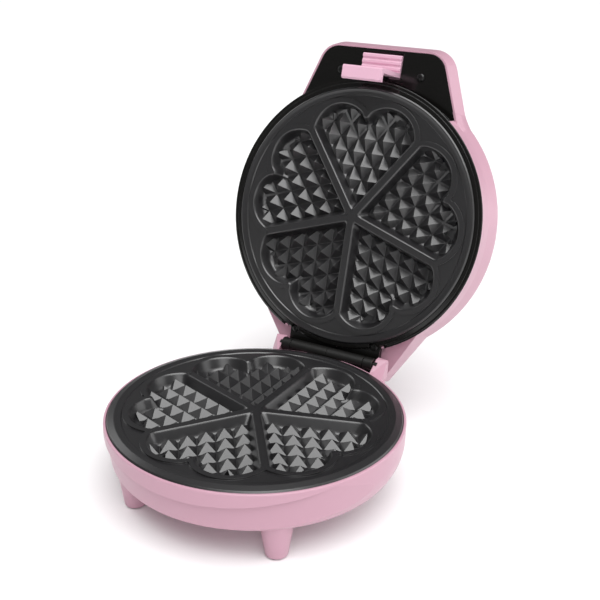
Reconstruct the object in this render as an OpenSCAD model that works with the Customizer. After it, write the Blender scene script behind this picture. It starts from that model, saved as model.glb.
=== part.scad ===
// Heart waffle maker, shown with its lid open.
// Millimetres, +Z up. The origin is on the table under the middle of the round base.
// The front, with the handle, faces -Y and the hinge is at +Y.
// The lid and its parts are drawn closed and then swung open by lid_place().

/* [Body] */
// Outside radius of the round base
body_r = 100; // [92:1:120]
// Height of the lower baking plate's rim above the table
rim_z = 56.5; // [52:0.5:70]
// Height of the body's bottom edge above the table
skirt_z = 26; // [22:0.5:28]
// How far the skirt draws in between the band and the bottom edge
skirt_in = 5.8; // [3:0.1:8]
// Height of the straight band under the lip
band_h = 11; // [9:0.5:13]
// Height of the plate's rim above the lip round it
plate_proud = 2.2; // [1.5:0.1:3]
// Wall thickness of the plastic mouldings
wall = 2.4; // [1.8:0.1:2.8]
// Gap round a part that sits inside another
fit = 0.3; // [0.2:0.05:0.5]

/* [Front recess] */
// Depth of the recess under the band at the front
recess_in = 3.6; // [2.5:0.1:4.5]
// Distance from the rim plane down to the band's lower edge at the front
recess_drop = 13.2; // [12:0.1:16]
// Slope of the band's lower edge, which rises towards the sides
recess_tilt = 10; // [4:1:14]
// How far the recess's cone is shifted back, so that it fades out at the sides
recess_shift = 5; // [3:0.5:8]

/* [Feet] */
// Distance of a foot's middle in from the body's bottom edge
foot_in = 11.5; // [11.2:0.1:16]
// Turn of each front foot away from the front
foot_turn = 40.34; // [25:0.1:48]
// Turn of each rear foot away from the back
rear_foot_turn = 17; // [15:0.5:32]
// Radius of a foot where it leaves the cover
foot_r = 11; // [9:0.5:12]
// Radius of a foot at its tip
foot_tip_r = 7.4; // [6.5:0.1:9]
// Radius of the rubber pad in each foot's tip
pad_r = 4.2; // [3.6:0.1:5]
// How far the pad stands out below the foot
pad_proud = 0.8; // [0.5:0.1:1.5]

/* [Baking plates] */
// Width of the lip between the lower plate and the body's outside
lip_w = 2; // [1.6:0.1:2.4]
// Width of the black ring round the upper plate
ring_w = 4; // [3:0.1:4.6]
// Radius of the bead round each lobe of a heart
lobe_r = 27; // [25:0.5:28]
// Flat left between a lobe's bead and the groove round the plate
lobe_gap = 0.5; // [0.3:0.1:2]
// Angle of a lobe from the middle line of its heart
lobe_angle = 17; // [16:0.5:18]
// Width of the bead round the hearts
bead_w = 3.5; // [2.5:0.1:4.5]
// Height of the bead above the flat of the plate
bead_h = 1.1; // [0.8:0.1:1.6]
// Depth of a heart below the flat of the plate
cell_depth = 8; // [6:0.5:9]
// Width of the flat top of a rib between two hearts
rib_w = 4.4; // [3:0.1:6]
// Spacing of the pyramids along a rib
pitch = 12.5; // [10:0.5:16]
// Height of the pyramids
pyramid_h = 5.4; // [3:0.1:6]
// Thickness of metal under a heart of the lower plate
plate_skin = 3.5; // [2.5:0.1:4]
// Thickness of metal behind a heart of the upper plate
upper_skin = 2.5; // [2.5:0.1:3.5]
// Thickness of the plate's outer flange
flange_t = 4.5; // [4:0.1:5]

/* [Lid] */
// Angle between the closed lid and the open one
lid_open = 105.2; // [90:0.1:106]
// Gap between the two plates' rims when the lid is closed
lid_gap = 1.8; // [1.2:0.1:3]
// How far the lid stands out past the body at the height of the handle's underside
lid_over = 0.2; // [0:0.1:2]
// How far the lid's side leans out above that
lid_lean = 2.2; // [1:0.1:3]
// Height of the lid's top above the lower rim
lid_h = 38; // [36:0.5:44]
// Rise of the lid's top from its edge to its middle
lid_crown = 1.4; // [0.5:0.1:3]
// Height of the handle's underside above the lower rim
handle_off = 16; // [14:0.5:18]
// How far the handle's front edge stands out from the lid
handle_reach = 24.2; // [23:0.2:32]
// Half width of the handle between the middles of its corners
handle_x = 36; // [34:0.5:42]
// Radius of the handle's corners
handle_corner = 15.4; // [12:0.2:16]
// How far the lid's rear edge stands out behind the lid
tail_reach = 19.8; // [18:0.2:26]
// Half width of the lid's rear edge
tail_x = 41; // [41:0.5:50]

/* [Hinge] */
// Distance of the hinge pin behind the body
hinge_back = 3.3; // [3.3:0.1:4.3]
// Distance of the hinge pin below the lower rim
hinge_drop = 1.6; // [1:0.1:2]
// Radius of the hinge pin
pin_r = 2.2; // [1.8:0.1:2.6]
// Running gap round the pin in the barrels
pin_gap = 0.06; // [0.03:0.01:0.1]
// Radius of the barrels
barrel_r = 4.8; // [4.4:0.1:5]
// Length of each of the two barrels
barrel_l = 29.8; // [26:0.2:30]
// Gap between neighbouring knuckles
knuckle_gap = 0.4; // [0.3:0.1:0.8]
// Half length of the whole row of knuckles
knuckle_end = 37.6; // [36:0.2:37.6]

/* [Latch] */
// Width of the latch
latch_w = 31; // [24:0.5:34]
// Gap between the latch's leg and the body's band
latch_gap = 3.7; // [3.4:0.1:4.4]
// Thickness of the latch's leg and flange
latch_t = 3.4; // [2.8:0.1:3.8]
// Length of the ribbed leg, front to back
leg_l = 12.5; // [10:0.5:13]
// Height of the ridges on the leg
ridge_h = 0.8; // [0.5:0.1:1.2]
// Depth of the hook's lip under the band
hook_in = 6.4; // [5:0.1:6.6]
// Thickness of the hook's lip
hook_t = 2.8; // [2.2:0.1:4]
// Angle that the latch turns to let go
latch_swing = 9; // [7:0.5:10]
// Radius of the latch's pin
latch_pin_r = 1.5; // [1.2:0.1:1.8]

/* [Heating] */
// Distance of the heating element's ring in from the hearts' outer ends
element_in = 27.5; // [26:0.5:36]
// Radius of the element's tube
tube_r = 3.3; // [2.8:0.1:3.6]
// Thickness of the bar that holds the element
clamp_t = 1.5; // [1:0.1:2]
// Sheet thickness of the heat reflectors
sheet_t = 0.8; // [0.5:0.1:1]

/* [Cord inlet] */
// Bore radius of the cord gland
cord_r = 3.5; // [3:0.1:4]
// Direction of the cord gland, seen from above, from +X
gland_angle = 150; // [145:1:160]

/* [Hidden] */
$fn = 96;
eps = 0.02;

// Colours
pink = [0.87, 0.66, 0.76];
black = [0.12, 0.12, 0.12];
coating = [0.17, 0.16, 0.16];
steel = [0.72, 0.72, 0.74];
dull_steel = [0.5, 0.5, 0.52];
rubber_grey = [0.2, 0.2, 0.2];
cream = [0.9, 0.88, 0.8];

// Base levels and radii
lip_z = rim_z - plate_proud;
lip_round = 1.1;
band_z = lip_z - band_h;
skirt_h = band_z - skirt_z;
skirt_rho = (skirt_h * skirt_h + skirt_in * skirt_in) / (2 * skirt_in);
skirt_c = body_r - skirt_rho;
floor_r = body_r - skirt_in;
floor_in_r = skirt_c + sqrt(pow(skirt_rho - wall, 2) - skirt_h * skirt_h);
seat_z = rim_z - flange_t;
plate_r = body_r - lip_w;
seat_in_r = plate_r - 3.4;
cover_t = 2.4;
cover_top = skirt_z + cover_t;
foot_ring_r = floor_r - foot_in;
foot_spots = [for (sx = [-1, 1]) each
    [foot_ring_r * [sx * sin(foot_turn), -cos(foot_turn)],
     foot_ring_r * [sx * sin(rear_foot_turn), cos(rear_foot_turn)]]];

// Screws: shank radius, head radius and head height
screw_r = 1.6;
screw_head_r = 2.8;
screw_head_h = 1.8;
screw_gap = 0.2;
upper_plate_r = plate_r - ring_w;
crest_r = upper_plate_r - 1;
plate_screw_r = crest_r - 1.8;
plate_screw_angles = [45, 135, 225, 315];
lug_r = 3.1;

// Baking plates: levels from the rim's crest down
heart_n = 5;
heart_step = 360 / heart_n;
land_r = crest_r - 5;
land_z = -bead_h - 0.1;
bead_z = -0.1;
rib_top_z = bead_z - 0.4;
floor_z = land_z - cell_depth;
plate_t = cell_depth + plate_skin - land_z;
upper_plate_t = cell_depth + upper_skin - land_z;
plate_core_r = land_r - 0.6;
lobe_d = land_r - lobe_gap - lobe_r;
cell_r = lobe_r - bead_w;
cell_middle_r = lobe_d - 4.5;
rib_foot = rib_w / 2 + 1.8;
rib_l = lobe_d * cos(heart_step / 2 - lobe_angle) + 15.5;
saw_w = pitch * sin(heart_step);
valley = 0.3;
cusp_r = 2;
saw_n = ceil(plate_core_r / saw_w);
boss_r = 5;
ring_drop = 2 * tube_r;
dish_depth = ring_drop + clamp_t;
element_r = lobe_d + lobe_r - element_in;
dish_flat_r = element_r + 9;
dish_rim_r = dish_flat_r + 7;
terminal_angle = 18;

// Lid levels, all above the lower rim, and its outline
lid_r = body_r + lid_over;
handle_y = lid_r + handle_reach;
handle_lip = 1.4;
handle_root_y = 62;
handle_root_x = sqrt(pow(lid_r - 6.72, 2) - handle_root_y * handle_root_y);
insert_y = 70;
riser_x = 61;
tail_y = lid_r + tail_reach;
tail_root_y = 58;
tail_root_x = sqrt(pow(lid_r - 4.6, 2) - tail_root_y * tail_root_y);
tail_corner = 4;
hinge_y = body_r + hinge_back;
upper_rim = lid_gap;
liner_ledge = upper_rim + flange_t;
liner_t = 2;
liner_edge = upper_rim + 1.2;
liner_r = plate_r;
skirt_off = liner_edge + 0.6;
lean_off = handle_off + 12;
lid_round = 9;
lid_skirt_r = lid_r - 0.8;
handle_top = lid_h - 2;
tail_low = 6;
tail_slope = 12.8;
tail_from = tail_y - 44;
hinge_z = rim_z - hinge_drop;
hinge_slot_x = knuckle_end + 2;
hinge_screw_x = knuckle_end - 4.6;
hinge_screw_y = hinge_y - 11.7;
liner_screw_x = 31.8;
liner_screw_y = handle_y - 18.6;
lens_x = 9;
lens_y = 70;
lens_r = 3.6;

// Hinge
leaf_t = 2;
hinge_seat_z = rim_z - 12;
web_t = 4;
base_web_t = 2.7;
ear_r = barrel_r + 0.4;
ear_w = knuckle_end - barrel_l - 2 * knuckle_gap;
base_hinge_screw = [20, hinge_y + 3.4];
shoulder_in = knuckle_end + 0.8;
shoulder_out = shoulder_in + 8.1;
housing_y = hinge_y + 7.9;

// Latch, measured in the closed lid
latch_y = body_r + latch_gap;
latch_front = latch_y + latch_t;
leg_face = handle_off - 1;
hook_top = -recess_drop - 0.35;
hook_bottom = hook_top - hook_t;
pivot_y = latch_y + latch_t / 2;
pivot_off = handle_off + liner_t + 4.4;
pivot_boss_r = 3.6;
spring_gap = 11;
ridge_n = 3;
ridge_step = leg_l / ridge_n;
bracket_t = 2.5;
window_x = latch_w / 2 + 0.7;
window_in = latch_y - 1.4;
window_out = latch_front + leg_l + 1.6;

// Cord inlet
gland_z = 37;
gland_boss_r = 7.2;
gland_seat_r = body_r + 1.5;
gland_neck_r = cord_r + 2;
gland_flange_r = cord_r + 3.4;
gland_back_r = body_r - 7;
gland_flange_t = 2.5;
clamp_gap = 3;
clamp_w = 7;
clamp_r = gland_back_r - gland_flange_t - clamp_gap - clamp_w / 2;
clamp_x = gland_flange_r + 2.1;

// Points on an arc about [cx, cy], from angle a0 to a1 in n steps
function arc(cx, cy, r, a0, a1, n) =
    [for (i = [0:n]) let (a = a0 + (a1 - a0) * i / n) [cx + r * cos(a), cy + r * sin(a)]];

// Swings what is drawn on the closed lid to the open position
module lid_place() {
    translate([0, hinge_y, hinge_z])
        rotate([-lid_open, 0, 0])
            translate([0, -hinge_y, hinge_drop]) children();
}

// Extrudes a YZ outline along X, centred on X = 0
module along_x(length) {
    translate([-length / 2, 0, 0]) rotate([90, 0, 90]) linear_extrude(length) children();
}

// A pan-head screw that points up, with the underside of its head at z = 0
module screw(length, r = screw_r, head_r = screw_head_r, head_h = screw_head_h) {
    difference() {
        union() {
            cylinder(h = length, r = r, $fn = 32);
            translate([0, 0, -head_h * 0.6]) cylinder(h = head_h * 0.6, r = head_r, $fn = 32);
            translate([0, 0, -head_h])
                cylinder(h = head_h * 0.4, r1 = head_r * 0.7, r2 = head_r, $fn = 32);
        }
        for (a = [0, 90])
            rotate([0, 0, a])
                translate([-head_r * 0.55, -0.35, -head_h - eps])
                    cube([head_r * 1.1, 0.7, head_h * 0.55]);
    }
}

// Base ------------------------------------------------------------------

// The round body's outer form, without the recess
module body_form() {
    rotate_extrude() polygon(concat(
        [[0, lip_z]],
        arc(body_r - lip_round, lip_z - lip_round, lip_round, 90, 0, 4),
        arc(skirt_c, band_z, skirt_rho, 0, -asin(skirt_h / skirt_rho), 12),
        [[0, skirt_z]]));
}

// What is cut away under the band at the front; grow moves it into the wall
module front_recess(grow = 0) {
    difference() {
        translate([0, -body_r, rim_z - recess_drop + grow])
            rotate([recess_tilt, 0, 0])
                translate([-body_r, -10, -1.2 * body_r])
                    cube([2 * body_r, body_r, 1.2 * body_r]);
        translate([0, recess_shift, skirt_z - 10])
            cylinder(
                h = rim_z,
                r1 = floor_r + recess_shift - grow - 10 * recess_lean,
                r2 = floor_r + recess_shift - grow + (rim_z - 10) * recess_lean,
                $fn = 180);
    }
}
recess_lean = (body_r - recess_in - floor_r) / (rim_z - recess_drop - skirt_z);

// The hollow of the body, with the ledge that the plate sits on
module body_hollow() {
    translate([0, 0, seat_z]) cylinder(h = flange_t, r = plate_r + fit, $fn = 180);
    difference() {
        rotate_extrude() polygon(concat(
            [[0, seat_z + 1], [seat_in_r, seat_z + 1], [seat_in_r, seat_z - wall],
             [body_r - wall, seat_z - wall]],
            arc(skirt_c, band_z, skirt_rho - wall, 0, -asin(skirt_h / (skirt_rho - wall)), 12),
            [[floor_in_r, skirt_z - 1], [0, skirt_z - 1]]));
        front_recess(wall);
    }
}

// The plan of the hinge housing; inset draws it in all round
module housing_plan(inset = 0) {
    polygon([
        [-shoulder_out - 2.6 + inset, hinge_y - 23.3], [-shoulder_out - 2.6 + inset, hinge_y - 15.3],
        [-shoulder_out + inset, hinge_y + 2], [-shoulder_out + 3 + inset, housing_y - inset],
        [shoulder_out - 3 - inset, housing_y - inset], [shoulder_out - inset, hinge_y + 2],
        [shoulder_out + 2.6 - inset, hinge_y - 15.3], [shoulder_out + 2.6 - inset, hinge_y - 23.3]]);
}

// The raised shoulder beside the hinge, on the +X side
module shoulder() {
    hull() {
        translate([shoulder_in, 0, rim_z]) rotate([90, 0, 90]) linear_extrude(0.8)
            polygon([[hinge_y - 8.3, -12.5], [hinge_y - 8.3, -4.7], [hinge_y + 2.6, 1.9],
                     [hinge_y + 6.6, 1.9], [housing_y, -1], [housing_y - 1, -12.5]]);
        translate([shoulder_out - 0.4, 0, rim_z]) rotate([90, 0, 90]) linear_extrude(0.4)
            polygon([[hinge_y - 4.8, -12.5], [hinge_y - 4.5, -11], [hinge_y + 4.6, 2.1],
                     [hinge_y + 6, 1.6], [hinge_y + 7, -1], [hinge_y + 5.4, -12.5]]);
    }
}

// A post for a cover screw, tied to the wall by a web
module cover_post(spot) {
    out = atan2(spot[1], spot[0]);
    reach = norm(spot);
    post_top = rim_z - plate_t - 2.6;
    rotate([0, 0, out]) {
        translate([reach, 0, cover_top]) cylinder(h = post_top - cover_top, r = 4, $fn = 48);
        translate([reach, -1, cover_top])
            cube([floor_in_r + 2.6 - reach, 2, post_top - cover_top - 2]);
    }
}

module base_shell() {
    color(pink) difference() {
        union() {
            difference() {
                body_form();
                front_recess();
                body_hollow();
            }
            difference() {
                translate([0, 0, skirt_z + 4])
                    linear_extrude(hinge_seat_z - skirt_z - 4) housing_plan();
                translate([0, 0, skirt_z + 3])
                    linear_extrude(hinge_seat_z - wall - skirt_z - 3) housing_plan(wall);
                translate([0, 0, skirt_z - 1]) cylinder(h = rim_z, r = body_r - 1, $fn = 180);
            }
            shoulder();
            mirror([1, 0, 0]) shoulder();
            for (sx = [-1, 1])
                translate([sx * base_hinge_screw[0], base_hinge_screw[1], hinge_seat_z - 10])
                    cylinder(h = 10, r = 3.6, $fn = 48);
            for (a = plate_screw_angles) rotate([0, 0, a]) {
                translate([plate_screw_r, 0, seat_z - wall]) cylinder(h = wall, r = lug_r, $fn = 48);
                translate([plate_screw_r, -lug_r, seat_z - wall])
                    cube([body_r - wall / 2 - plate_screw_r, 2 * lug_r, wall]);
            }
            for (spot = foot_spots) cover_post(spot);
            rotate([0, 0, gland_angle]) translate([gland_back_r, 0, gland_z]) rotate([0, 90, 0])
                cylinder(h = gland_seat_r - gland_back_r, r = gland_boss_r, $fn = 64);
        }
        for (a = plate_screw_angles) rotate([0, 0, a])
            translate([plate_screw_r, 0, seat_z - wall - 1])
                cylinder(h = wall + 2, r = screw_r + screw_gap, $fn = 32);
        for (spot = foot_spots) translate([spot[0], spot[1], cover_top - 1])
            cylinder(h = 11, r = screw_r, $fn = 32);
        for (sx = [-1, 1])
            translate([sx * base_hinge_screw[0], base_hinge_screw[1], hinge_seat_z - 9])
                cylinder(h = 10, r = screw_r, $fn = 32);
        rotate([0, 0, gland_angle]) translate([gland_back_r - 1, 0, gland_z]) rotate([0, 90, 0])
            cylinder(h = gland_seat_r - gland_back_r + 2, r = gland_neck_r, $fn = 64);
        translate([-knuckle_end - pin_reach, hinge_y, hinge_z]) rotate([0, 90, 0])
            cylinder(h = 2 * (knuckle_end + pin_reach), r = pin_r, $fn = 48);
        knuckle(-knuckle_end - knuckle_gap, knuckle_end + knuckle_gap, ear_r + 0.1);
    }
}
pin_reach = 3;

// One foot: a tapered peg with a well from below for its screw and pad
module foot() {
    rotate_extrude($fn = 64) polygon(concat(
        [[pad_r, pad_proud], [foot_tip_r - 1.4, pad_proud]],
        arc(foot_tip_r - 1.4, pad_proud + 1.4, 1.4, -90, 0, 4),
        [[foot_r, skirt_z], [screw_r + screw_gap, skirt_z],
         [screw_r + screw_gap, skirt_z - 4], [pad_r, skirt_z - 4]]));
}

module bottom_cover() {
    color(pink) difference() {
        union() {
            translate([0, 0, skirt_z]) cylinder(h = cover_t, r = floor_in_r - fit, $fn = 180);
            for (spot = foot_spots) translate([spot[0], spot[1], 0]) foot();
            rotate([0, 0, gland_angle]) for (sy = [-1, 1])
                translate([clamp_r, sy * clamp_x, cover_top - eps])
                    cylinder(h = clamp_low - cover_top + eps, r = 3, $fn = 32);
        }
        for (spot = foot_spots) translate([spot[0], spot[1], skirt_z - 2])
            cylinder(h = cover_t + 4, r = screw_r + screw_gap, $fn = 32);
        for (sy = [-1, 0, 1], sx = [-4:4])
            translate([sx * 9 - 1.5, sy * 30 - 9, skirt_z - 1]) cube([3, 18, cover_t + 2]);
        rotate([0, 0, gland_angle]) for (sy = [-1, 1])
            translate([clamp_r, sy * clamp_x, cover_top + 1])
                cylinder(h = 20, r = 1.2, $fn = 32);
    }
}
clamp_low = gland_z + cord_r - 0.6;
clamp_bar_t = 2.4;

module cover_screws() {
    color(steel) for (spot = foot_spots)
        translate([spot[0], spot[1], skirt_z - 4]) screw(cover_t + 4 + 8);
}

module foot_pads() {
    color(rubber_grey) for (spot = foot_spots) translate([spot[0], spot[1], 0])
        rotate_extrude($fn = 48) polygon(
            [[0, 0], [pad_r - 0.5, 0], [pad_r - 0.1, 0.4], [pad_r - 0.1, 4], [0, 4]]);
}

// Baking plates ---------------------------------------------------------

// Runs its children once for each lobe of the flower
module each_lobe() {
    for (k = [0:heart_n - 1], s = [-1, 1])
        rotate([0, 0, 90 + k * heart_step + s * lobe_angle]) translate([-lobe_d, 0, 0]) children();
}

// The outline round all five hearts, with lobes of radius r and a rounded cusp in each heart
module flower(r) {
    notch = lobe_d * cos(lobe_angle) + sqrt(r * r - pow(lobe_d * sin(lobe_angle), 2));
    difference() {
        union() {
            each_lobe() circle(r = r);
            circle(r = cell_middle_r);
        }
        for (k = [0:heart_n - 1]) rotate([0, 0, -90 + k * heart_step])
            translate([notch + 0.7 * cusp_r, 0]) circle(r = cusp_r, $fn = 32);
    }
}

// A row of roof shapes that run beside a rib, starting at the rib's foot
module saw_row() {
    translate([0, rib_foot, floor_z]) rotate([90, 0, 90]) linear_extrude(plate_core_r)
        polygon(concat(
            [[0, -2]],
            [for (i = [0:saw_n - 1]) each [[i * saw_w, -valley], [(i + 0.5) * saw_w, pyramid_h]]],
            [[saw_n * saw_w, -valley], [saw_n * saw_w, -2]]));
}

// The pyramids of one heart whose middle line points along +X
module heart_pyramids() {
    intersection() {
        rotate([0, 0, -heart_step / 2]) saw_row();
        rotate([0, 0, heart_step / 2]) mirror([0, 1, 0]) saw_row();
        translate([0, 0, floor_z - 3]) linear_extrude(pyramid_h + 4) flower(cell_r + 0.8);
    }
}

// A plate of radius r and thickness t that faces up, with its rim's crest at z = 0
module baking_plate(r, t) {
    outer_drop = r > crest_r + 2 ? plate_proud : 0.7;
    difference() {
        union() {
            difference() {
                union() {
                    rotate_extrude($fn = 180) polygon([
                        [0, land_z], [land_r, land_z], [land_r + 0.6, land_z + 0.6],
                        [crest_r - 2.2, land_z + 0.8], [crest_r - 1.2, -0.2], [crest_r - 0.4, 0], [crest_r + 0.2, -0.1],
                        [r - 0.8, -outer_drop * 0.6], [r, -outer_drop - 0.2], [r, -flange_t],
                        [plate_core_r + 0.6, -flange_t], [plate_core_r, -t],
                        [0, -t]]);
                    translate([0, 0, land_z - 1]) linear_extrude(bead_z - land_z + 1)
                        difference() { flower(lobe_r); flower(cell_r - 1); }
                }
                translate([0, 0, floor_z]) linear_extrude(1 - floor_z) flower(cell_r);
            }
            for (k = [0:heart_n - 1]) rotate([0, 0, -90 + (k + 0.5) * heart_step])
                rotate([90, 0, 90]) linear_extrude(rib_l) polygon([
                    [-rib_foot, floor_z - 1], [-rib_w / 2, rib_top_z],
                    [rib_w / 2, rib_top_z], [rib_foot, floor_z - 1]]);
            for (k = [0:heart_n - 1]) rotate([0, 0, -90 + k * heart_step]) heart_pyramids();
            translate([0, 0, -t - ring_drop]) cylinder(h = ring_drop + 1, r = boss_r);
        }
        for (a = plate_screw_angles) rotate([0, 0, a])
            translate([plate_screw_r, 0, -flange_t - 1])
                cylinder(h = flange_t - 0.4, r = screw_r, $fn = 32);
        translate([0, 0, -t - ring_drop - 1]) cylinder(h = 10, r = screw_r, $fn = 32);
    }
}

// The heating element under a plate's flat back at z = 0, with its two sleeved ends
module element() {
    translate([0, 0, -tube_r]) {
        rotate([0, 0, 180 + terminal_angle]) rotate_extrude(angle = 360 - 2 * terminal_angle)
            translate([element_r, 0]) circle(r = tube_r, $fn = 32);
        for (s = [-1, 1]) rotate([0, 0, 180 + s * terminal_angle])
            translate([element_r, 0, -dish_depth - 2])
                cylinder(h = dish_depth + 2 + tube_r - 0.1, r = tube_r + 0.5, $fn = 32);
    }
}

// The bar across the element, held by the screw in the plate's middle boss
module clamp_bar() {
    difference() {
        translate([-6, -element_r - 5, -dish_depth]) cube([12, 2 * element_r + 10, clamp_t]);
        translate([0, 0, -dish_depth - 1]) cylinder(h = clamp_t + 2, r = screw_r + screw_gap, $fn = 32);
    }
}

// The dish that shields the housing from the element
module reflector() {
    difference() {
        rotate_extrude() polygon([
            [0, -dish_depth - sheet_t], [dish_flat_r, -dish_depth - sheet_t],
            [dish_rim_r - 3, -sheet_t], [dish_rim_r + 2, -sheet_t], [dish_rim_r + 2, 0],
            [dish_rim_r - 3.5, 0], [dish_flat_r - 0.6, -dish_depth], [0, -dish_depth]]);
        translate([0, 0, -dish_depth - 2]) cylinder(h = 4, r = screw_r + screw_gap, $fn = 32);
        for (s = [-1, 1]) rotate([0, 0, 180 + s * terminal_angle])
            translate([element_r, 0, -dish_depth - 2]) cylinder(h = 4, r = tube_r + 1.3, $fn = 32);
    }
}

module lower_stack() { translate([0, 0, rim_z - plate_t]) children(); }

module upper_stack() {
    lid_place() translate([0, 0, upper_rim + upper_plate_t]) mirror([0, 0, 1]) children();
}

module lower_plate() { color(coating) translate([0, 0, rim_z]) baking_plate(plate_r, plate_t); }
module lower_element() { color(dull_steel) lower_stack() element(); }
module lower_clamp_bar() { color(steel) lower_stack() clamp_bar(); }
module lower_reflector() { color(steel) lower_stack() reflector(); }

module lower_clamp_screw() {
    color(steel) lower_stack() translate([0, 0, -dish_depth - sheet_t])
        screw(sheet_t + clamp_t + 5);
}

module lower_plate_screws() {
    color(steel) for (a = plate_screw_angles) rotate([0, 0, a])
        translate([plate_screw_r, 0, seat_z - wall]) screw(wall + 2.6);
}

// Bimetal thermostat on the lower plate's back
module thermostat() {
    color(cream) lower_stack() translate([26, -30, 0]) {
        translate([0, 0, -2.2]) cylinder(h = 2.2, r = 8.4, $fn = 48);
        translate([0, 0, -6.4]) cylinder(h = 4.2, r = 7.4, $fn = 48);
        for (s = [-1, 1]) translate([s * 4 - 1.5, -0.4, -7.4]) cube([3, 0.8, 2]);
    }
}

// Thermal cut-out lying against the lower plate's back
module thermal_fuse() {
    color(steel) lower_stack() translate([-34, -30, -2.2]) rotate([0, 90, 0]) {
        cylinder(h = 16, r = 2, $fn = 32);
        translate([0, 0, -5]) cylinder(h = 26, r = 0.7, $fn = 24);
    }
}

module fuse_strap() {
    color(steel) lower_stack() translate([-29, -30, 0]) difference() {
        translate([0, -6, -5]) cube([6, 12, 5]);
        translate([-1, 0, -2.2]) rotate([0, 90, 0]) cylinder(h = 8, r = 2.1, $fn = 32);
        translate([-1, -2.1, -2.2]) cube([8, 4.2, 3]);
        for (s = [-1, 1]) translate([-1, s * 6 - 2.6, -6]) cube([8, 5.2, 5]);
    }
}

// Cord inlet ------------------------------------------------------------

module cord_gland() {
    color(rubber_grey) rotate([0, 0, gland_angle]) translate([0, 0, gland_z]) rotate([0, 90, 0])
        rotate_extrude($fn = 64) polygon([
            [cord_r, gland_back_r - gland_flange_t],
            [gland_flange_r, gland_back_r - gland_flange_t],
            [gland_flange_r, gland_back_r], [gland_neck_r, gland_back_r],
            [gland_neck_r, gland_seat_r], [gland_flange_r, gland_seat_r],
            [gland_flange_r, gland_seat_r + 2], [cord_r + 1.4, gland_seat_r + 12],
            [cord_r, gland_seat_r + 12]]);
}

module cord_clamp() {
    color(cream) rotate([0, 0, gland_angle]) difference() {
        translate([clamp_r - clamp_w / 2, -clamp_x - 4, clamp_low])
            cube([clamp_w, 2 * clamp_x + 8, clamp_bar_t]);
        for (s = [-1, 1]) translate([clamp_r, s * clamp_x, clamp_low - 1])
            cylinder(h = 5, r = 1.4, $fn = 32);
    }
}

module cord_clamp_screws() {
    color(steel) rotate([0, 0, gland_angle]) for (s = [-1, 1])
        translate([clamp_r, s * clamp_x, clamp_low + clamp_bar_t]) mirror([0, 0, 1])
            screw(8, 1.2, 2.4, 1.4);
}

module terminal_block() {
    color(cream) rotate([0, 0, gland_angle + 22]) translate([body_r - 26, -13, cover_top]) difference() {
        cube([9, 26, 9]);
        for (i = [0:2]) translate([-1, 4.5 + 8.5 * i, 5]) rotate([0, 90, 0])
            cylinder(h = 11, r = 1.8, $fn = 32);
        for (i = [0:2]) translate([4.5, 4.5 + 8.5 * i, 5]) cylinder(h = 5, r = 1.5, $fn = 32);
    }
}

// Hinge -----------------------------------------------------------------

// A knuckle round the hinge line, from x0 to x1, in the base's frame
module knuckle(x0, x1, r) {
    translate([x0, hinge_y, hinge_z]) rotate([0, 90, 0]) cylinder(h = x1 - x0, r = r, $fn = 64);
}

module pin_bore() {
    translate([-knuckle_end - 1, hinge_y, hinge_z]) rotate([0, 90, 0])
        cylinder(h = 2 * knuckle_end + 2, r = pin_r + pin_gap, $fn = 48);
}

module base_hinge() {
    inner = knuckle_gap / 2;
    color(black) difference() {
        union() {
            translate([-knuckle_end, body_r + 0.4, hinge_seat_z])
                cube([2 * knuckle_end, housing_y - body_r - 1.4, leaf_t]);
            translate([inner, body_r + 0.6, hinge_seat_z])
                cube([barrel_l, base_web_t, hinge_z - hinge_seat_z]);
            translate([-knuckle_end, body_r + 0.6, hinge_seat_z])
                cube([ear_w, base_web_t, hinge_z - hinge_seat_z]);
            knuckle(inner, inner + barrel_l, barrel_r);
            knuckle(-knuckle_end, ear_w - knuckle_end, barrel_r);
        }
        pin_bore();
        for (sx = [-1, 1])
            translate([sx * base_hinge_screw[0], base_hinge_screw[1], hinge_seat_z - 1])
                cylinder(h = leaf_t + 2, r = screw_r + screw_gap, $fn = 32);
    }
}

module base_hinge_screws() {
    color(dull_steel) for (sx = [-1, 1])
        translate([sx * base_hinge_screw[0], base_hinge_screw[1], hinge_seat_z + leaf_t])
            mirror([0, 0, 1]) screw(leaf_t + 7);
}

module hinge_pin() {
    color(steel) translate([-knuckle_end - pin_reach + 0.2, hinge_y, hinge_z]) rotate([0, 90, 0])
        cylinder(h = 2 * (knuckle_end + pin_reach) - 0.4, r = pin_r, $fn = 48);
}

module lid_hinge() {
    inner = knuckle_gap / 2;
    leaf_low = liner_ledge + liner_t;
    leaf_in = sqrt(pow(liner_r + fit, 2) - pow(hinge_screw_x - 4, 2));
    color(black) difference() {
        union() {
            lid_place() {
                translate([-knuckle_end, hinge_screw_y - 4.6, leaf_low])
                    cube([2 * knuckle_end, hinge_y + web_t / 2 - hinge_screw_y + 4.6, leaf_t]);
                translate([-inner - barrel_l, hinge_y - web_t / 2, -hinge_drop])
                    cube([barrel_l, web_t, hinge_drop + leaf_low + 1]);
                translate([knuckle_end - ear_w, hinge_y - web_t / 2, -hinge_drop])
                    cube([ear_w, web_t, hinge_drop + leaf_low + 1]);
            }
            knuckle(-inner - barrel_l, -inner, barrel_r);
            knuckle(knuckle_end - ear_w, knuckle_end, barrel_r);
        }
        pin_bore();
        lid_place() {
            translate([0, 0, leaf_low - 1]) cylinder(h = leaf_t + 2, r = seat_in_r - 3.8, $fn = 180);
            for (sx = [-1, 1]) translate([sx * hinge_screw_x, hinge_screw_y, leaf_low - 1])
                cylinder(h = leaf_t + 2, r = screw_r + screw_gap, $fn = 32);
        }
    }
}

module lid_hinge_screws() {
    color(dull_steel) lid_place() for (sx = [-1, 1])
        translate([sx * hinge_screw_x, hinge_screw_y, liner_ledge])
            screw(liner_t + leaf_t + 8);
}

// Lid -------------------------------------------------------------------

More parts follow.
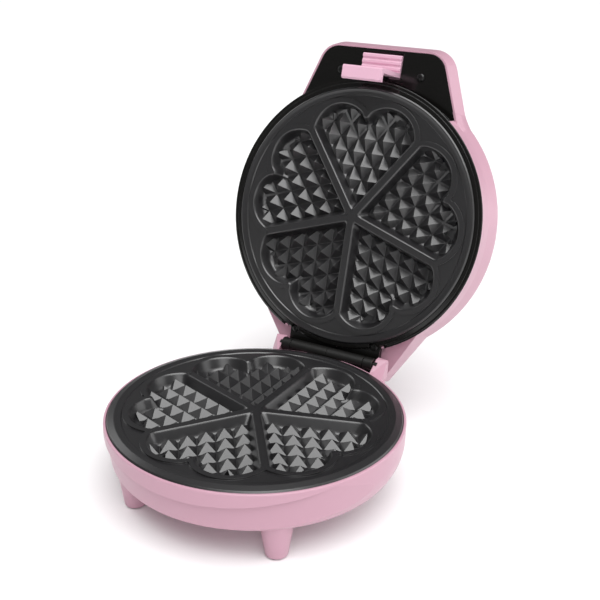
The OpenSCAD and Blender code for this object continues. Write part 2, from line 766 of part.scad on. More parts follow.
// The round lid's form; inset draws it in for the hollow
module lid_form(inset = 0) {
    top_r = lid_r + lid_lean - lid_round;
    low = inset > 0 ? 0 : skirt_off;
    rotate_extrude($fn = 180) polygon(concat(
        [[0, low], [lid_skirt_r - inset, low], [lid_skirt_r - inset, skirt_off + 4],
         [lid_r - inset, handle_off], [lid_r + lid_lean - inset, lean_off]],
        arc(top_r, lid_h - lid_round, lid_round - inset, 0, 90, 6),
        [[0, lid_h + lid_crown - inset]]));
}

// One level of the handle's outline, grown or shrunk by grow
module handle_slice(z, grow, thick = 0.1) {
    c = [handle_x, -handle_y + handle_corner];
    side = [handle_root_x + grow, -handle_root_y];
    reach = norm(side - c);
    turn = atan2(side[1] - c[1], side[0] - c[0]) - acos((handle_corner + grow) / reach);
    right = concat(arc(c[0], c[1], handle_corner + grow, -90, turn, 8), [side]);
    translate([0, 0, z]) linear_extrude(thick)
        polygon(concat(right, [for (i = [len(right) - 1:-1:0]) [-right[i][0], right[i][1]]]));
}

// The plan of the handle's black underside, from the skirt to the front
module insert_blank(z, grow, thick) {
    difference() {
        handle_slice(z, grow, thick);
        translate([-lid_r, -insert_y, z - 1]) cube([2 * lid_r, insert_y, thick + 2]);
    }
}

module handle_form(inset = 0) {
    hull() {
        handle_slice(handle_off - (inset > 0 ? 1 : 0), -inset);
        handle_slice(lean_off, 3.2 - inset);
        handle_slice(handle_top - 5, 2.4 - inset);
        handle_slice(handle_top - 0.1 - inset, -4.5 - inset);
    }
}

// One level of the hollow tail's outline behind the hinge
module tail_slice(z, grow) {
    translate([0, 0, z]) linear_extrude(0.1) {
        for (sx = [-1, 1]) translate([sx * (tail_x - tail_corner), tail_y - tail_corner])
            circle(r = tail_corner + grow, $fn = 32);
        translate([-tail_root_x - grow, tail_root_y]) square([2 * (tail_root_x + grow), 2]);
    }
}

module tail_form(inset = 0) {
    hull() {
        tail_slice(tail_low - (inset > 0 ? 1 : 0), -2 - inset);
        tail_slice(lean_off, 0.2 - inset);
        tail_slice(lid_h - 5, -1.2 - inset);
        tail_slice(lid_h - 0.1 - inset, -8 - inset);
    }
}

module lid_shell() {
    color(pink) lid_place() difference() {
        union() {
            difference() {
                union() {
                    lid_form();
                    handle_form();
                    difference() {
                        tail_form();
                        translate([0, tail_from, tail_low]) rotate([tail_slope, 0, 0])
                            translate([-lid_r, -40, -lid_h]) cube([2 * lid_r, tail_y - 10, lid_h]);
                    }
                }
                lid_form(wall);
                cylinder(h = liner_ledge + liner_t, r = liner_r + fit, $fn = 180);
                difference() {
                    handle_form(wall);
                    cylinder(h = handle_off, r = lid_r);
                }
                difference() {
                    tail_form(wall);
                    cylinder(h = lean_off, r = lid_r);
                }
                intersection() {
                    cylinder(h = handle_off + liner_t, r = lid_r + 0.3, $fn = 180);
                    translate([-riser_x - 1, -lid_r - 5, 0])
                        cube([2 * riser_x + 2, lid_r + 5 - insert_y, handle_off + liner_t]);
                }
                insert_blank(handle_off - 1, -handle_lip, liner_t + 1);
            }
            intersection() {
                lid_inside();
                union() {
                    for (sx = [-1, 1]) {
                        translate([sx * hinge_screw_x, hinge_screw_y, liner_ledge + liner_t + leaf_t])
                            cylinder(h = lid_h, r = 4.4, $fn = 48);
                        translate([sx * liner_screw_x, -liner_screw_y, handle_off + liner_t])
                            cylinder(h = lid_h, r = 4, $fn = 48);
                        translate([sx * (window_x + bracket_t / 2 + 0.4) - bracket_t / 2,
                                   -pivot_y - 4, handle_off + liner_t])
                            cube([bracket_t, 8, lid_h]);
                    }
                }
            }
        }
        translate([-hinge_slot_x, hinge_screw_y - 6, skirt_off - 2])
            cube([2 * hinge_slot_x, 30, liner_ledge + liner_t + leaf_t - skirt_off + 2]);
        for (sx = [-1, 1]) {
            translate([sx * hinge_screw_x, hinge_screw_y, skirt_off])
                cylinder(h = 16, r = screw_r, $fn = 32);
            translate([sx * liner_screw_x, -liner_screw_y, handle_off])
                cylinder(h = 12, r = screw_r, $fn = 32);
            translate([sx * lens_x, -lens_y, lid_h - 6]) cylinder(h = 10, r = lens_r + 0.1, $fn = 48);
        }
        latch_bore(latch_pin_r);
    }
}

// The space inside the lid's walls, which its bosses keep to
module lid_inside() {
    union() {
        lid_form(wall - 0.4);
        handle_form(wall - 0.4);
        tail_form(wall - 0.4);
    }
}

// The line of the latch's pin, in the closed lid
module latch_bore(r) {
    translate([-window_x - 6, -pivot_y, pivot_off]) rotate([0, 90, 0])
        cylinder(h = 2 * window_x + 12, r = r, $fn = 32);
}

// Black ring round the upper plate, with the handle's underside and the hinge tabs
module lid_liner() {
    color(black) lid_place() difference() {
        union() {
            rotate_extrude($fn = 180) polygon([
                [upper_plate_r + fit, liner_edge - 0.4], [liner_r - 1, liner_edge],
                [liner_r, liner_edge + 1], [liner_r, liner_ledge + liner_t],
                [upper_plate_r - 5.4, liner_ledge + liner_t], [upper_plate_r - 5.4, liner_ledge],
                [upper_plate_r + fit, liner_ledge]]);
            difference() {
                insert_blank(handle_off, -handle_lip - fit, liner_t);
                translate([0, 0, handle_off - 1]) cylinder(h = 10, r = liner_r - liner_t);
            }
            intersection() {
                translate([0, 0, liner_ledge]) difference() {
                    cylinder(h = handle_off + liner_t - liner_ledge, r = liner_r);
                    translate([0, 0, -1]) cylinder(h = lid_h, r = liner_r - liner_t);
                }
                translate([-riser_x, -lid_r, liner_ledge])
                    cube([2 * riser_x, lid_r - insert_y, lid_h]);
            }
            difference() {
                translate([-knuckle_end, hinge_screw_y - 5, liner_ledge])
                    cube([2 * knuckle_end, hinge_y - web_t / 2 - 0.4 - hinge_screw_y + 5, liner_t]);
                translate([0, 0, liner_ledge - 1]) cylinder(h = 10, r = liner_r - 3);
            }
        }
        translate([-window_x, -window_out, handle_off - 1])
            cube([2 * window_x, window_out - window_in, 10]);
        for (sx = [-1, 1]) {
            translate([sx * liner_screw_x, -liner_screw_y, handle_off - 1])
                cylinder(h = 10, r = screw_r + screw_gap, $fn = 32);
            translate([sx * hinge_screw_x, hinge_screw_y, liner_ledge - 1])
                cylinder(h = 10, r = screw_r + screw_gap, $fn = 32);
            translate([sx * hinge_screw_x, hinge_screw_y, -1])
                cylinder(h = 1 + liner_ledge, r = screw_head_r + 0.6, $fn = 48);
        }
        for (a = plate_screw_angles) rotate([0, 0, a])
            translate([plate_screw_r, 0, liner_ledge - 1])
                cylinder(h = 10, r = screw_r + screw_gap, $fn = 32);
    }
}

module liner_screws() {
    color(dull_steel) lid_place() for (sx = [-1, 1])
        translate([sx * liner_screw_x, -liner_screw_y, handle_off]) screw(liner_t + 8);
}

module upper_plate() {
    color(coating) lid_place() translate([0, 0, upper_rim]) mirror([0, 0, 1])
        baking_plate(upper_plate_r, upper_plate_t);
}

module upper_plate_screws() {
    color(steel) lid_place() for (a = plate_screw_angles) rotate([0, 0, a])
        translate([plate_screw_r, 0, liner_ledge + liner_t]) mirror([0, 0, 1])
            screw(liner_t + 2.6);
}

module upper_element() { color(dull_steel) upper_stack() element(); }
module upper_clamp_bar() { color(steel) upper_stack() clamp_bar(); }
module upper_reflector() { color(steel) upper_stack() reflector(); }

module upper_clamp_screw() {
    color(steel) upper_stack() translate([0, 0, -dish_depth - sheet_t])
        screw(sheet_t + clamp_t + 5);
}

module lamp_holder() {
    color(cream) lid_place() translate([-lens_x - 6, -lens_y - 5, lid_h - wall - 6.5]) difference() {
        cube([2 * lens_x + 12, 10, 6.5]);
        for (sx = [-1, 1]) translate([lens_x + 6 + sx * lens_x, 5, 2])
            cylinder(h = 10, r = lens_r + 0.5, $fn = 48);
    }
}

// A lamp lens: a low dome on a stem
module lens(sx) {
    lid_place() translate([sx * lens_x, -lens_y, 0]) rotate_extrude($fn = 48) polygon(concat(
        [[0, lid_h - 3], [lens_r, lid_h - 3], [lens_r, lens_seat], [lens_r + 1, lens_seat]],
        arc(0, lens_seat - 6.4, norm([lens_r + 1, 6.4]), atan2(6.4, lens_r + 1), 90, 5)));
}
lens_seat = lid_h + lid_crown * (1 - (lens_y - lens_r) / (lid_r + lid_lean - lid_round)) + 0.05;

module power_lens() { color([0.8, 0.1, 0.1]) lens(-1); }
module ready_lens() { color([0.1, 0.6, 0.2]) lens(1); }

// Latch -----------------------------------------------------------------

// Side outline of the latch in the closed lid, as [-Y, Z] from the rim plane
module latch_outline() {
    polygon(concat(
        [[latch_front, hook_bottom + 1], [latch_front - 1, hook_bottom],
         [latch_y - hook_in + 1.2, hook_bottom], [latch_y - hook_in, hook_bottom + 1.2],
         [latch_y - hook_in, hook_top + 0.3], [latch_y, hook_top],
         [latch_y, pivot_off], [latch_front, pivot_off],
         [latch_front, leg_face + latch_t], [latch_front + leg_l, leg_face + latch_t]],
        [for (i = [0:ridge_n - 1]) let (x = latch_front + leg_l - i * ridge_step)
            each [[x, leg_face], [x - 0.8, leg_face - ridge_h],
                  [x - ridge_step + 1.6, leg_face - ridge_h],
                  [x - ridge_step + 0.8, leg_face]]],
        [[latch_front, leg_face]]));
}

module latch() {
    color(pink) lid_place() difference() {
        union() {
            mirror([0, 1, 0]) along_x(latch_w) latch_outline();
            translate([-latch_w / 2, -pivot_y, pivot_off]) rotate([0, 90, 0])
                cylinder(h = latch_w, r = pivot_boss_r, $fn = 48);
        }
        latch_bore(latch_pin_r + pin_gap);
        translate([-spring_gap / 2, -pivot_y - 5, leg_face + latch_t + 0.2])
            cube([spring_gap, 10, 12]);
    }
}

module latch_pin() {
    color(steel) lid_place()
        translate([-window_x - bracket_t - 0.4, -pivot_y, pivot_off]) rotate([0, 90, 0])
            cylinder(h = 2 * (window_x + bracket_t + 0.4), r = latch_pin_r, $fn = 32);
}

// The latch's torsion spring: a coil round the pin with two straight ends
spring_turns = 4;
spring_wire_r = 0.5;
spring_coil_r = latch_pin_r + 0.9;
spring_pitch = 1.6;
spring_steps = 16;
spring_sides = 8;
function coil_point(i) = let (a = 360 * i / spring_steps)
    [(i / spring_steps - spring_turns / 2) * spring_pitch,
     spring_coil_r * cos(a), spring_coil_r * sin(a)];
function coil_ring(i) = let (a = 360 * i / spring_steps)
    [for (k = [0:spring_sides - 1]) let (b = 360 * k / spring_sides)
        coil_point(i) + spring_wire_r * [sin(b), cos(b) * cos(a), cos(b) * sin(a)]];

module latch_spring() {
    rings = spring_turns * spring_steps;
    side = spring_sides;
    color(steel) lid_place() translate([0, -pivot_y, pivot_off]) polyhedron(
        points = [for (i = [0:rings]) each coil_ring(i)],
        faces = concat(
            [[for (k = [side - 1:-1:0]) k]],
            [for (i = [0:rings - 1], k = [0:side - 1]) let (n = (k + 1) % side)
                [i * side + k, i * side + n, (i + 1) * side + n, (i + 1) * side + k]],
            [[for (k = [0:side - 1]) rings * side + k]]));
}

base_shell();
bottom_cover();
cover_screws();
foot_pads();
lower_plate();
lower_plate_screws();
lower_element();
lower_clamp_bar();
lower_reflector();
lower_clamp_screw();
thermostat();
thermal_fuse();
fuse_strap();
terminal_block();
cord_gland();
cord_clamp();
cord_clamp_screws();
base_hinge();
base_hinge_screws();
hinge_pin();
lid_shell();
lid_liner();
liner_screws();
lid_hinge();
lid_hinge_screws();
upper_plate();
upper_plate_screws();
upper_element();
upper_clamp_bar();
upper_reflector();
upper_clamp_screw();
lamp_holder();
power_lens();
ready_lens();
latch();
latch_pin();
latch_spring();
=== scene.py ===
# Heart waffle maker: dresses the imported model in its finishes, and adds the sloped and rounded forms.
import math

import bmesh
import bpy
from mathutils import Matrix, Vector


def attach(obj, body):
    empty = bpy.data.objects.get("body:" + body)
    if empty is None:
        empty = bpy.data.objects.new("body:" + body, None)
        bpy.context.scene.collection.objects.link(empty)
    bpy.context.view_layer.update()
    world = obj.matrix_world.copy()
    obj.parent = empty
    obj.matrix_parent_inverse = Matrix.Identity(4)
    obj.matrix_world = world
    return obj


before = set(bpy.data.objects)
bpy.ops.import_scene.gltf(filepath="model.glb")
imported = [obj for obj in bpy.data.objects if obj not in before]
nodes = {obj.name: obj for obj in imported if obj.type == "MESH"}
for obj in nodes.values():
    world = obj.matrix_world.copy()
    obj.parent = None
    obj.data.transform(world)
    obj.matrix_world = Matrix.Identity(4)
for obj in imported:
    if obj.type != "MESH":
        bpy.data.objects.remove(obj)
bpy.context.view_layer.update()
mm = 0.001
print("loaded", len(nodes), "nodes")

camera = {
    "place": (309.8, -505.5, 377.6),  # mm
    "right": (0.87324, 0.48702, 0.01595),
    "up": (-0.19765, 0.32409, 0.92515),
    "back": (0.44540, -0.81103, 0.37927),
    "lens": 60.52,
}


def addCamera(setup):
    data = bpy.data.cameras.new("viewCamera")
    data.sensor_width = 36
    data.lens = setup["lens"]
    data.clip_start = 0.01
    eye = bpy.data.objects.new("viewCamera", data)
    axes = [Vector(setup[name]) for name in ("right", "up", "back")]
    turn = Matrix([[axis[i] for axis in axes] for i in range(3)]).to_4x4()
    eye.matrix_world = Matrix.Translation(Vector(setup["place"]) * mm) @ turn
    bpy.context.scene.collection.objects.link(eye)
    bpy.context.scene.camera = eye


addCamera(camera)
print("camera placed")


def newGroup(name, inputs, outputs):
    group = bpy.data.node_groups.new(name, "ShaderNodeTree")
    for label, kind, value in inputs:
        socket = group.interface.new_socket(label, in_out="INPUT", socket_type=kind)
        socket.default_value = value
    for label, kind in outputs:
        group.interface.new_socket(label, in_out="OUTPUT", socket_type=kind)
    return group, group.nodes.new("NodeGroupInput"), group.nodes.new("NodeGroupOutput")


def add(tree, kind, inputs=(), **settings):
    made = tree.nodes.new(kind)
    for key, value in settings.items():
        setattr(made, key, value)
    for key, value in dict(inputs).items():
        if isinstance(value, bpy.types.NodeSocket):
            tree.links.new(value, made.inputs[key])
        else:
            made.inputs[key].default_value = value
    return made


def mathNode(tree, operation, *values, clamp=False):
    made = add(tree, "ShaderNodeMath", enumerate(values), operation=operation, use_clamp=clamp)
    return made.outputs[0]


def mixColour(tree, share, first, second, blend="MIX"):
    made = add(tree, "ShaderNodeMix", data_type="RGBA", blend_type=blend)
    for index, value in ((0, share), (6, first), (7, second)):
        if isinstance(value, bpy.types.NodeSocket):
            tree.links.new(value, made.inputs[index])
        else:
            made.inputs[index].default_value = value
    return made.outputs[2]


def surfacePoint(tree):
    return add(tree, "ShaderNodeTexCoord").outputs["Object"]


def buildGrain():
    # a fine moulded or sprayed texture: soft bumps with small pits between them
    group, start, end = newGroup(
        "grain",
        [("Scale", "NodeSocketFloat", 900.0), ("Pits", "NodeSocketFloat", 0.3)],
        [("Height", "NodeSocketFloat"), ("Mask", "NodeSocketFloat")],
    )
    point = surfacePoint(group)
    soft = add(group, "ShaderNodeTexNoise", {"Vector": point, "Scale": start.outputs["Scale"], "Detail": 3.0})
    pits = add(group, "ShaderNodeTexVoronoi", {"Vector": point, "Scale": start.outputs["Scale"]})
    depth = mathNode(group, "MULTIPLY", pits.outputs["Distance"], start.outputs["Pits"])
    group.links.new(mathNode(group, "ADD", soft.outputs["Fac"], depth), end.inputs["Height"])
    group.links.new(soft.outputs["Fac"], end.inputs["Mask"])
    return group


wiping = {"broadScale": 14.0, "closeScale": 90.0}


def buildHandling():
    # broad uneven gloss and tone, as wiping and handling leave on a surface
    group, start, end = newGroup(
        "handling",
        [
            ("Colour", "NodeSocketColor", (0.8, 0.8, 0.8, 1)),
            ("Tone", "NodeSocketColor", (0.7, 0.7, 0.7, 1)),
            ("Amount", "NodeSocketFloat", 0.2),
            ("Roughness", "NodeSocketFloat", 0.3),
            ("Spread", "NodeSocketFloat", 0.08),
        ],
        [("Colour", "NodeSocketColor"), ("Roughness", "NodeSocketFloat")],
    )
    point = surfacePoint(group)
    broad = add(group, "ShaderNodeTexNoise", {"Vector": point, "Scale": wiping["broadScale"], "Detail": 4.0})
    close = add(group, "ShaderNodeTexNoise", {"Vector": point, "Scale": wiping["closeScale"], "Detail": 5.0})
    share = mathNode(group, "MULTIPLY", broad.outputs["Fac"], start.outputs["Amount"])
    colour = mixColour(group, share, start.outputs["Colour"], start.outputs["Tone"])
    wander = mathNode(group, "SUBTRACT", close.outputs["Fac"], 0.5)
    wander = mathNode(group, "MULTIPLY_ADD", wander, start.outputs["Spread"], start.outputs["Roughness"])
    group.links.new(colour, end.inputs["Colour"])
    group.links.new(wander, end.inputs["Roughness"])
    return group


def buildSoftEdge():
    # rounds the shading of hard edges, as a mould's small radius does
    group, start, end = newGroup(
        "softEdge",
        [
            ("Height", "NodeSocketFloat", 0.5),
            ("Strength", "NodeSocketFloat", 0.2),
            ("Distance", "NodeSocketFloat", 0.00003),
            ("Radius", "NodeSocketFloat", 0.0005),
        ],
        [("Normal", "NodeSocketVector")],
    )
    rounded = add(group, "ShaderNodeBevel", {"Radius": start.outputs["Radius"]}, samples=6)
    bump = add(
        group,
        "ShaderNodeBump",
        {
            "Height": start.outputs["Height"],
            "Strength": start.outputs["Strength"],
            "Distance": start.outputs["Distance"],
            "Normal": rounded.outputs["Normal"],
        },
    )
    group.links.new(bump.outputs["Normal"], end.inputs["Normal"])
    return group


def buildBrushing():
    # straight fine scratches across rolled or drawn metal
    group, start, end = newGroup(
        "brushing",
        [("Scale", "NodeSocketFloat", 400.0)],
        [("Height", "NodeSocketFloat"), ("Mask", "NodeSocketFloat")],
    )
    point = add(group, "ShaderNodeMapping", {"Vector": surfacePoint(group), "Scale": (0.05, 1.0, 1.0)})
    lines = add(
        group,
        "ShaderNodeTexNoise",
        {"Vector": point.outputs[0], "Scale": start.outputs["Scale"], "Detail": 2.0},
    )
    group.links.new(lines.outputs["Fac"], end.inputs["Height"])
    group.links.new(lines.outputs["Fac"], end.inputs["Mask"])
    return group


grain = buildGrain()
handling = buildHandling()
softEdge = buildSoftEdge()
brushing = buildBrushing()
print("built the shared shader groups")


def useGroup(tree, group, inputs):
    made = add(tree, "ShaderNodeGroup", node_tree=group)
    for key, value in inputs.items():
        if isinstance(value, bpy.types.NodeSocket):
            tree.links.new(value, made.inputs[key])
        else:
            made.inputs[key].default_value = value
    return made.outputs


def finish(name, look):
    material = bpy.data.materials.new(name)
    material.use_nodes = True
    tree = material.node_tree
    shader = tree.nodes["Principled BSDF"]
    handled = useGroup(
        tree,
        handling,
        {
            "Colour": look["colour"] + (1,),
            "Tone": look["tone"] + (1,),
            "Amount": look["toneAmount"],
            "Roughness": look["roughness"],
            "Spread": look["glossSpread"],
        },
    )
    texture = brushing if look.get("brushed") else grain
    relief = useGroup(tree, texture, {"Scale": look["grainScale"]})
    normal = useGroup(
        tree,
        softEdge,
        {
            "Height": relief["Height"],
            "Strength": look["grainStrength"],
            "Distance": look["grainDepth"] * mm,
            "Radius": look.get("edgeRadius", 0.4) * mm,
        },
    )
    tree.links.new(handled["Colour"], shader.inputs["Base Color"])
    tree.links.new(handled["Roughness"], shader.inputs["Roughness"])
    tree.links.new(normal["Normal"], shader.inputs["Normal"])
    shader.inputs["Metallic"].default_value = look.get("metallic", 0)
    shader.inputs["Specular IOR Level"].default_value = look.get("specular", 0.5)
    shader.inputs["Coat Weight"].default_value = look.get("coat", 0)
    shader.inputs["Coat Roughness"].default_value = look.get("coatRoughness", 0.1)
    shader.inputs["Transmission Weight"].default_value = look.get("transmission", 0)
    return material


pinkLook = {
    "colour": (0.51, 0.295, 0.37),
    "tone": (0.485, 0.275, 0.345),
    "toneAmount": 0.35,
    "roughness": 0.32,
    "glossSpread": 0.06,
    "grainScale": 900.0,
    "grainStrength": 0.03,
    "grainDepth": 0.02,
    "specular": 0.45,
}
pinkPlastic = finish("pinkPlastic", pinkLook)
latchPink = finish("latchPink", dict(pinkLook, colour=(0.74, 0.45, 0.57), tone=(0.70, 0.42, 0.53)))

blackLook = {
    "colour": (0.0035, 0.0033, 0.003),
    "tone": (0.006, 0.0056, 0.005),
    "toneAmount": 0.5,
    "roughness": 0.16,
    "glossSpread": 0.10,
    "grainScale": 1100.0,
    "grainStrength": 0.08,
    "grainDepth": 0.03,
    "specular": 0.5,
}
blackPlastic = finish("blackPlastic", blackLook)

coatingLook = {
    "colour": (0.0095, 0.009, 0.010),
    "tone": (0.013, 0.0125, 0.0135),
    "toneAmount": 0.6,
    "roughness": 0.31,
    "glossSpread": 0.04,
    "grainScale": 1400.0,
    "grainStrength": 0.15,
    "grainDepth": 0.03,
    "edgeRadius": 0.18,
    "specular": 1.0,
}
nonStick = finish("nonStick", coatingLook)
hingeBlack = finish("hingeBlack", dict(blackLook, roughness=0.42, specular=0.4))

steelLook = {
    "colour": (0.56, 0.56, 0.57),
    "tone": (0.46, 0.45, 0.44),
    "toneAmount": 0.4,
    "roughness": 0.34,
    "glossSpread": 0.1,
    "grainScale": 700.0,
    "grainStrength": 0.2,
    "grainDepth": 0.02,
    "metallic": 1.0,
    "brushed": True,
}
bareSteel = finish("bareSteel", steelLook)
heatedSteel = finish(
    "heatedSteel",
    dict(steelLook, colour=(0.20, 0.18, 0.16), tone=(0.12, 0.09, 0.08), roughness=0.42),
)
darkScrew = finish(
    "darkScrew",
    dict(steelLook, colour=(0.05, 0.05, 0.05), tone=(0.03, 0.03, 0.03), roughness=0.35),
)

rubberLook = dict(
    blackLook,
    colour=(0.022, 0.022, 0.022),
    roughness=0.62,
    grainStrength=0.35,
    grainDepth=0.06,
    grainScale=900.0,
)
softRubber = finish("softRubber", rubberLook)

ceramicLook = {
    "colour": (0.72, 0.68, 0.58),
    "tone": (0.62, 0.57, 0.47),
    "toneAmount": 0.5,
    "roughness": 0.55,
    "glossSpread": 0.12,
    "grainScale": 1000.0,
    "grainStrength": 0.3,
    "grainDepth": 0.05,
}
steatite = finish("steatite", ceramicLook)

lensLook = dict(pinkLook, coat=0.6, coatRoughness=0.04, roughness=0.12, grainStrength=0.02, transmission=0.35)
redLens = finish(
    "redLens",
    dict(lensLook, colour=(0.62, 0.02, 0.02), tone=(0.5, 0.01, 0.01)),
)
greenLens = finish(
    "greenLens",
    dict(lensLook, colour=(0.03, 0.4, 0.09), tone=(0.02, 0.3, 0.06)),
)
print("mixed the finishes")

finishes = {
    "base_shell": pinkPlastic,
    "bottom_cover": pinkPlastic,
    "lid_shell": pinkPlastic,
    "lower_plate": nonStick,
    "upper_plate": nonStick,
    "lid_liner": blackPlastic,
    "latch": latchPink,
    "base_hinge": hingeBlack,
    "lid_hinge": hingeBlack,
    "hinge_pin": darkScrew,
    "foot_pads": softRubber,
    "cord_gland": softRubber,
    "lower_element": heatedSteel,
    "upper_element": heatedSteel,
    "base_hinge_screws": darkScrew,
    "lid_hinge_screws": darkScrew,
    "liner_screws": darkScrew,
    "thermostat": steatite,
    "terminal_block": steatite,
    "cord_clamp": steatite,
    "lamp_holder": steatite,
    "power_lens": redLens,
    "ready_lens": greenLens,
}


def dress(piece, material):
    piece.data.materials.clear()
    piece.data.materials.append(material)


for name, node in nodes.items():
    dress(node, finishes.get(name, bareSteel))

# Heights in the closed lid are taken from the lower rim, as in the solids.
lidPlace = {"hingeY": 103.3, "hingeZ": 54.9, "rimZ": 56.5, "turn": -105.2}


def onLid(x, y, height):
    # a point of the closed lid, carried to the open position
    turn = math.radians(lidPlace["turn"])
    across = y - lidPlace["hingeY"]
    up = height + lidPlace["rimZ"] - lidPlace["hingeZ"]
    return Vector(
        (
            x,
            lidPlace["hingeY"] + across * math.cos(turn) - up * math.sin(turn),
            lidPlace["hingeZ"] + across * math.sin(turn) + up * math.cos(turn),
        )
    )


def onBase(x, y, height):
    return Vector((x, y, height + lidPlace["rimZ"]))


def addPiece(name, points, faces, material, body):
    data = bpy.data.meshes.new(name)
    data.from_pydata([point * mm for point in points], [], faces)
    data.validate()
    shape = bmesh.new()
    shape.from_mesh(data)
    bmesh.ops.recalc_face_normals(shape, faces=shape.faces)
    shape.to_mesh(data)
    shape.free()
    for face in data.polygons:
        face.use_smooth = True
    data.materials.append(material)
    piece = bpy.data.objects.new(name, data)
    bpy.context.scene.collection.objects.link(piece)
    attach(piece, body)


def loft(rings):
    # joins closed rings of equally many points, and lists the faces between them
    count = len(rings[0])
    points = [point for ring in rings for point in ring]
    faces = []
    for level in range(len(rings) - 1):
        for i in range(count):
            j = (i + 1) % count
            low, high = level * count, (level + 1) * count
            faces.append((low + i, low + j, high + j, high + i))
    return points, faces


def endFaces(count, total):
    # the first and the last ring of a loft, as two faces
    return [tuple(range(count)), tuple(range(total - count, total))]


# The sloped walls of the hearts, on both plates, in mm and degrees.
heart = {
    "lobeRadius": 23.5,
    "lobeDistance": 60.5,
    "lobeTurn": 17,
    "middleRadius": 56,
    "cuspRadius": 2.0,
    "cuspReach": 0.7,  # share of the cusp's radius that it stands out from where the lobes meet
    "ribHalf": 2.2,
    "ribTurn": 36,
    "beadTop": -0.07,
    "ribTop": -0.47,
    "floor": -9.2,
    "upperPlateDrop": 1.8,
    # how far in from the wall, and how deep, from its top edge down
    "profile": [
        (-0.25, 0.0),
        (0.25, 0.05),
        (0.7, 0.45),
        (1.3, 1.4),
        (3.1, 6.2),
        (3.8, 7.6),
        (4.8, 8.5),
        (6.2, 9.2),
    ],
    # where the rays start, how many there are, how far they reach and how they step
    "middle": 47.0,
    "rays": 150,
    "reach": 60,
    "step": 0.5,
    "halvings": 12,
    "pastWall": 0.01,
}


def isWall(setup, inset, x, y):
    # whether a point of the heart whose middle line is +X lies in a rib, in the round wall, or in neither
    lobe, half = math.radians(setup["lobeTurn"]), math.radians(setup["ribTurn"])
    along, aside = setup["lobeDistance"] * math.cos(lobe), setup["lobeDistance"] * math.sin(lobe)
    notch = along + math.sqrt(setup["lobeRadius"] ** 2 - aside**2) + setup["cuspReach"] * setup["cuspRadius"]
    fromRib = x * math.sin(half) - abs(y) * math.cos(half)
    if fromRib < setup["ribHalf"] + inset:
        return "rib"
    if math.hypot(x - notch, y) < setup["cuspRadius"] + inset:
        return "round"
    fromLobe = math.hypot(x - along, abs(y) - aside) - setup["lobeRadius"]
    fromMiddle = math.hypot(x, y) - setup["middleRadius"]
    return "round" if min(fromLobe, fromMiddle) > -inset else None


def heartOutline(setup, inset):
    # casts rays from inside one heart; returns x, y and whether the wall there is a rib's
    outline = []
    for ray in range(setup["rays"]):
        turn = math.tau * (ray + 0.5) / setup["rays"]

        def spot(reach, turn=turn):
            return setup["middle"] + reach * math.cos(turn), reach * math.sin(turn)

        high = 0.0
        while high < setup["reach"] and not isWall(setup, inset, *spot(high)):
            high += setup["step"]
        low = max(high - setup["step"], 0)
        for _ in range(setup["halvings"]):
            middle = (low + high) / 2
            if isWall(setup, inset, *spot(middle)):
                high = middle
            else:
                low = middle
        onRib = isWall(setup, inset, *spot(high + setup["pastWall"])) == "rib"
        outline.append((*spot(high), onRib))
    return outline


def heartWalls(setup, name, place, flip, body):
    points, faces = [], []
    outlines = [(heartOutline(setup, inset), depth) for inset, depth in setup["profile"]]
    for k in range(5):
        turn = math.radians(72 * k - 90)
        rings = []
        for outline, depth in outlines:
            ring = []
            for x, y, onRib in outline:
                top = setup["ribTop"] if onRib else setup["beadTop"]
                height = max(top - depth, setup["floor"])
                turnedX = x * math.cos(turn) - y * math.sin(turn)
                turnedY = x * math.sin(turn) + y * math.cos(turn)
                ring.append(place(turnedX, turnedY, flip * height))
            rings.append(ring)
        more, quads = loft(rings)
        faces += [tuple(i + len(points) for i in quad) for quad in quads]
        points += more
    addPiece(name, points, faces, nonStick, body)


def onUpperPlate(x, y, height):
    return onLid(x, y, height + heart["upperPlateDrop"])


heartWalls(heart, "lowerHeartWalls", onBase, 1, "base")
heartWalls(heart, "upperHeartWalls", onUpperPlate, -1, "lid")
print("sloped the hearts' walls")

# The lip of the black ring, which covers the lid's edge.
ringLip = {
    "inner": 96.6,
    "outer": 99.75,
    "top": 3.58,
    "thick": 0.5,
    "edge": 0.4,
    "hingeGap": 25,
    "steps": 150,
}


def addRingLip(setup):
    inner, outer, top, thick = (setup[name] for name in ("inner", "outer", "top", "thick"))
    profile = [
        (inner, top),
        (inner, top - thick * 0.6),
        (inner + setup["edge"], top - thick),
        (outer - setup["edge"], top - thick),
        (outer, top - thick * 0.5),
        (outer, top),
    ]
    start = math.radians(90 + setup["hingeGap"])
    sweep = math.tau - math.radians(2 * setup["hingeGap"])
    rings = []
    for step in range(setup["steps"] + 1):
        turn = start + sweep * step / setup["steps"]
        across, ahead = math.cos(turn), math.sin(turn)
        rings.append([onLid(radius * across, radius * ahead, height) for radius, height in profile])
    points, faces = loft(rings)
    faces += endFaces(len(profile), len(points))
    addPiece("ringLip", points, faces, blackPlastic, "lid")


addRingLip(ringLip)
print("lipped the black ring")

# The smooth run of the handle's side into the round lid, right and left.
handleRun = {
    "radius": 60,
    "sink": 0.3,
    "corner": (36.0, -109.0),
    "cornerRadius": 15.4,
    "root": (70.0, -62.0),
    # height, growth of the handle's outline, radius of the lid
    "levels": [
        (16.1, 0.0, 100.3),
        (22, 1.6, 101.3),
        (28, 3.2, 102.3),
        (31, 2.5, 102.0),
        (33.5, -0.8, 100.6),
        (35.4, -3.6, 97.8),
    ],
    "steps": 14,
    "search": 0.03,
    "searchLength": 120,
    "backing": 0.93,
}


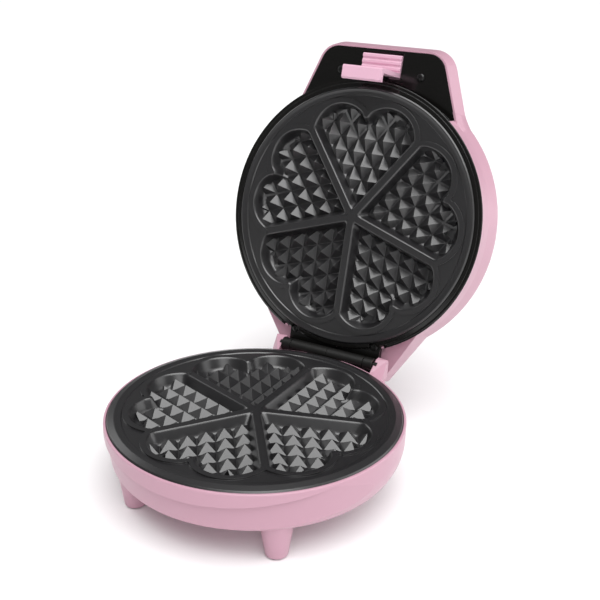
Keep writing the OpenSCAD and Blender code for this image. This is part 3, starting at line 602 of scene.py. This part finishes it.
def runOutline(setup, growth, lidRadius):
    # the arc that touches the handle's side line and the lid's circle, and a point inside the lid behind it
    corner, root = Vector(setup["corner"]), Vector(setup["root"]) + Vector((growth, 0))
    radius = setup["cornerRadius"] + growth
    offset = root - corner
    turn = math.atan2(offset.y, offset.x) - math.acos(radius / offset.length)
    normal = Vector((math.cos(turn), math.sin(turn)))
    side = corner + normal * (radius + setup["radius"])
    along = Vector((-normal.y, normal.x))

    def miss(centre):
        return abs(centre.length - lidRadius - setup["radius"])

    tries = round(setup["searchLength"] / setup["search"])
    centre = min((side + along * (step * setup["search"]) for step in range(tries)), key=miss)
    first = math.atan2(-normal.y, -normal.x)
    last = math.atan2(-centre.y, -centre.x)
    sweep = math.remainder(last - first, math.tau)
    arc = []
    for step in range(setup["steps"] + 1):
        turn = first + sweep * step / setup["steps"]
        arc.append(centre + (setup["radius"] + setup["sink"]) * Vector((math.cos(turn), math.sin(turn))))
    return arc + [(arc[0] + arc[-1]) / 2 * setup["backing"]]


def addHandleRun(setup, name, sign):
    rings = []
    for height, growth, lidRadius in setup["levels"]:
        outline = runOutline(setup, growth, lidRadius)
        rings.append([onLid(sign * point.x, point.y, height) for point in outline])
    points, faces = loft(rings)
    faces += endFaces(len(rings[0]), len(points))
    addPiece(name, points, faces, pinkPlastic, "lid")


addHandleRun(handleRun, "handleRunRight", 1)
addHandleRun(handleRun, "handleRunLeft", -1)
print("ran the handle into the lid")

studio = {
    "floorSize": 16.0,  # m
    "floorTone": (0.93, 0.93, 0.93),
    "skyTone": (1.0, 1.0, 1.0),
    "skyStrength": 0.15,
    "sun": {"from": (0.25, -0.26, 0.93), "strength": 3.4, "angle": 62},  # degrees
    "lamps": {
        # place m, size m, power W
        "sideLamp": ((-1.2, 0.2, 0.7), 0.7, 3),
        "lidLamp": ((1.5, 0.9, 0.6), 1.8, 15),
        "frontLamp": ((0.9, -1.3, 0.6), 0.9, 5),
    },
    "aim": (0.0, 0.04, 0.1),
}


def addFloor(setup):
    shape = bmesh.new()
    bmesh.ops.create_grid(shape, x_segments=1, y_segments=1, size=setup["floorSize"] / 2)
    data = bpy.data.meshes.new("floor")
    shape.to_mesh(data)
    shape.free()
    floor = bpy.data.objects.new("floor", data)
    bpy.context.scene.collection.objects.link(floor)
    material = bpy.data.materials.new("floorPaint")
    material.use_nodes = True
    shader = material.node_tree.nodes["Principled BSDF"]
    shader.inputs["Base Color"].default_value = setup["floorTone"] + (1,)
    shader.inputs["Roughness"].default_value = 0.9
    data.materials.append(material)


def addLamps(setup):
    aim = Vector(setup["aim"])
    for name, (spot, size, power) in setup["lamps"].items():
        data = bpy.data.lights.new(name, "AREA")
        data.size = size
        data.energy = power
        lamp = bpy.data.objects.new(name, data)
        lamp.location = spot
        lamp.rotation_euler = (aim - Vector(spot)).to_track_quat("-Z", "Y").to_euler()
        bpy.context.scene.collection.objects.link(lamp)
    data = bpy.data.lights.new("sun", "SUN")
    data.energy = setup["sun"]["strength"]
    data.angle = math.radians(setup["sun"]["angle"])
    sun = bpy.data.objects.new("sun", data)
    sun.rotation_euler = Vector(setup["sun"]["from"]).to_track_quat("Z", "Y").to_euler()
    bpy.context.scene.collection.objects.link(sun)
    sky = bpy.data.worlds.new("studioSky")
    sky.use_nodes = True
    backdrop = sky.node_tree.nodes["Background"]
    backdrop.inputs["Color"].default_value = setup["skyTone"] + (1,)
    backdrop.inputs["Strength"].default_value = setup["skyStrength"]
    bpy.context.scene.world = sky
    bpy.context.scene.view_settings.view_transform = "Standard"


addFloor(studio)
addLamps(studio)
print("floor and lights set")
